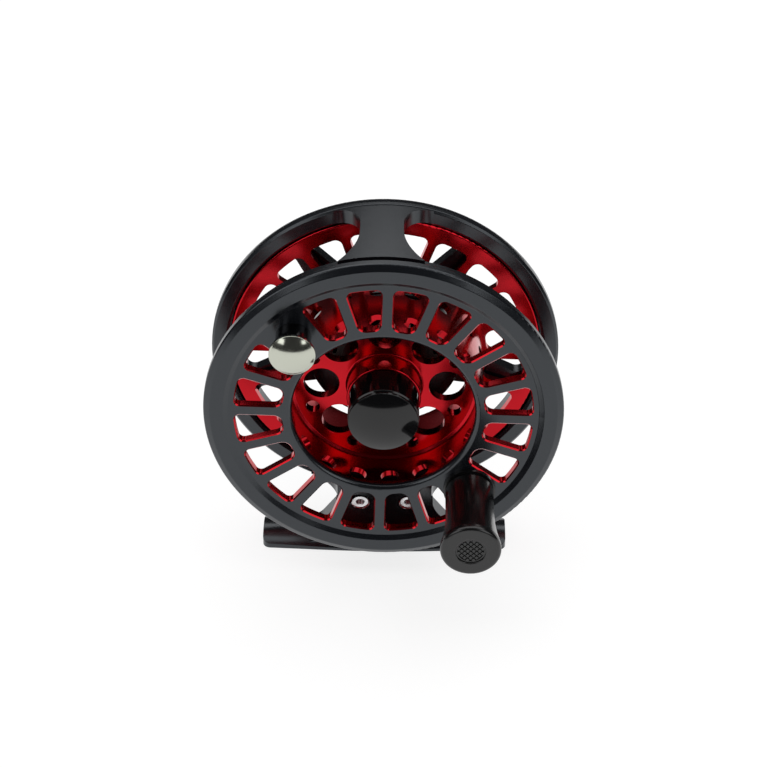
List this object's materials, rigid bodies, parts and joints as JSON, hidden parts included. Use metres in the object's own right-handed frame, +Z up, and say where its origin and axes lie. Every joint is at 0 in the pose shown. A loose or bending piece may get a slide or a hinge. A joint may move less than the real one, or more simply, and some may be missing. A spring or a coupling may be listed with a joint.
{
  "type": "fly reel",
  "caption": "Large-arbor fly fishing reel with a ported two-tone spool in an open cage frame, side handle, counterweight, disc drag and reel foot.",
  "frame": {"origin": "centre of the flat underside of the reel foot", "axes": "+Z up from the foot to the cage's top pillar, reel axis along Y with the handle side towards -Y, +X along the foot to the right of someone facing the handle"},
  "size_m": [0.09, 0.0679, 0.097],
  "materials": {
    "anodised_grey": "satin dark grey anodised aluminium; the front flange's window walls are cut bright red",
    "anodised_red": "glossy red anodised aluminium with fine turning marks",
    "anodised_black": "polished black anodised aluminium",
    "handle_black": "smooth black moulded grip",
    "polished_steel": "polished stainless steel",
    "steel": "turned stainless steel",
    "brass": "turned brass and bronze",
    "carbon": "carbon fibre friction washer",
    "acetal": "black acetal bearing washer",
    "rubber": "black nitrile rubber"
  },
  "bodies": {
    "frame": {"frame_rear_ring": "anodised_grey", "frame_back_spokes": "anodised_grey", "drag_housing": "anodised_grey", "frame_front_ring": "anodised_grey", "frame_top_pillar": "anodised_grey", "frame_foot_pillar": "anodised_grey", "reel_foot": "anodised_grey", "foot_screws": "steel", "spindle": "steel", "spindle_nut": "steel", "drag_cover": "anodised_black", "cover_seal": "rubber", "drag_washer_front": "carbon", "drag_washer_rear": "carbon", "pressure_plate": "steel", "push_pins": "steel", "thrust_washer": "steel", "drag_springs": "steel", "detent_ball": "steel", "detent_spring": "steel", "knob_stop_screw": "steel", "pawl_pin": "steel", "click_spring": "steel"},
    "click_pawl": {"click_pawl": "steel"},
    "drag_knob": {"drag_knob": "anodised_black", "knob_nut": "brass"},
    "drag_rotor": {"drag_rotor": "steel", "rotor_bushings": "brass"},
    "drive_hub": {"drive_hub": "anodised_black", "one_way_clutch": "steel", "clutch_rollers": "steel"},
    "spool": {"spool_front_flange": "anodised_grey", "spool_drum": "anodised_red", "spool_web": "anodised_red", "spool_rear_flange": "anodised_red", "spool_cap": "anodised_black", "cap_seal": "rubber", "catch_carrier": "steel", "spool_catch_ring": "steel", "bearing_outer_race": "steel", "click_ring": "steel", "handle_post": "steel", "handle_seat": "acetal", "counterweight_stem": "anodised_black", "counterweight_cap": "polished_steel", "counterweight_screw": "steel"},
    "bearing_inner": {"bearing_inner_race": "steel"},
    "bearing_balls": {"bearing_balls": "steel", "bearing_cage": "brass"},
    "handle": {"handle_grip": "handle_black", "handle_end_plug": "handle_black"}
  },
  "joints": [
    {"name": "drag_slip", "type": "hinge", "parent": "frame", "child": "drag_rotor", "pos_m": [0, 0, 0.052], "axis": [0, 1, 0], "continuous": true},
    {"name": "spool_spin", "type": "hinge", "parent": "drag_rotor", "child": "drive_hub", "pos_m": [0, 0, 0.052], "axis": [0, 1, 0], "continuous": true},
    {"name": "spool_release", "type": "slide", "parent": "drive_hub", "child": "spool", "axis": [0, -1, 0], "range_m": [0, 0.045], "deforming": ["spool_catch_ring"]},
    {"name": "handle_spin", "type": "hinge", "parent": "spool", "child": "handle", "pos_m": [0.02192, -0.0164, 0.02868], "axis": [0, 1, 0], "continuous": true},
    {"name": "drag_adjust", "type": "hinge", "parent": "frame", "child": "drag_knob", "pos_m": [0, 0, 0.052], "axis": [0, 1, 0], "range_deg": [0, 300]},
    {"name": "bearing_inner_spin", "type": "hinge", "parent": "spool", "child": "bearing_inner", "pos_m": [0, 0, 0.052], "axis": [0, 1, 0], "continuous": true},
    {"name": "bearing_balls_spin", "type": "hinge", "parent": "spool", "child": "bearing_balls", "pos_m": [0, 0, 0.052], "axis": [0, 1, 0], "continuous": true},
    {"name": "pawl_rock", "type": "hinge", "parent": "frame", "child": "click_pawl", "pos_m": [0, 0.0085, 0.0681], "axis": [0, 1, 0], "range_deg": [-5, 5], "stiffness_Nm_per_rad": 0.002, "deforming": ["click_spring"]}
  ],
  "couplings": [
    {"joint": "bearing_inner_spin", "follows": "spool_spin", "ratio": -1},
    {"joint": "bearing_balls_spin", "follows": "spool_spin", "ratio": -0.4219}
  ]
}
